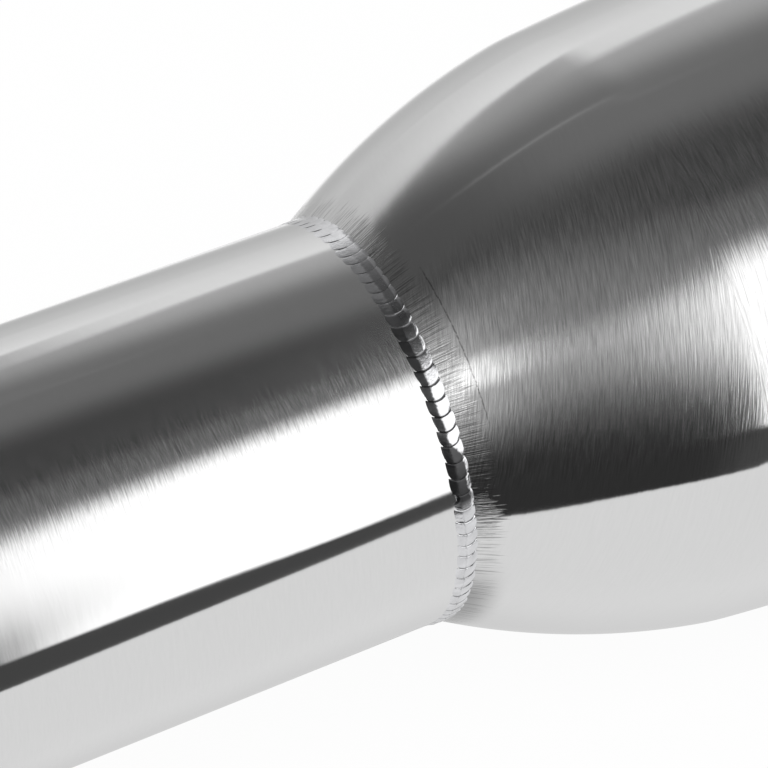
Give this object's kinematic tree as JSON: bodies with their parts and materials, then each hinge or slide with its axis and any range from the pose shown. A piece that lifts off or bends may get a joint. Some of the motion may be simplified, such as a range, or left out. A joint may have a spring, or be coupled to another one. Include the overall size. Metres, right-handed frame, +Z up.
{
  "type": "muffler",
  "caption": "Straight-through stainless muffler: slotted core wrapped in steel wool and glass fibre, in a round domed shell with welded necks.",
  "frame": {"origin": "centre of the inlet neck's mouth", "axes": "+X along the muffler's axis, from the inlet to the outlet; +Z up and +Y across, with the shell's seam on the underside towards +Y"},
  "size_m": [0.4826, 0.1016, 0.1016],
  "materials": {
    "stainless": "polished, with fine brushing around the axis",
    "weld_bead": "bright rippled weld metal",
    "core_steel": "dull rolled sheet",
    "steel_wool": "matted fine wire",
    "glass_fibre": "soft white fibre mat"
  },
  "bodies": {
    "root": {"inlet_neck": "stainless", "inlet_dome": "stainless", "inlet_dome_weld": "stainless", "inlet_neck_weld": "weld_bead", "inlet_core_tacks": "weld_bead", "outlet_neck": "stainless", "outlet_dome": "stainless", "outlet_dome_weld": "stainless", "outlet_neck_weld": "weld_bead", "outlet_core_tacks": "weld_bead", "shell": "stainless", "shell_seam_weld": "stainless", "core_tube": "core_steel", "core_seam_weld": "core_steel", "wool_wrap": "steel_wool", "glass_packing": "glass_fibre", "wool_tie_1": "core_steel", "wool_tie_2": "core_steel", "wool_tie_3": "core_steel", "wool_tie_4": "core_steel"}
  },
  "joints": []
}
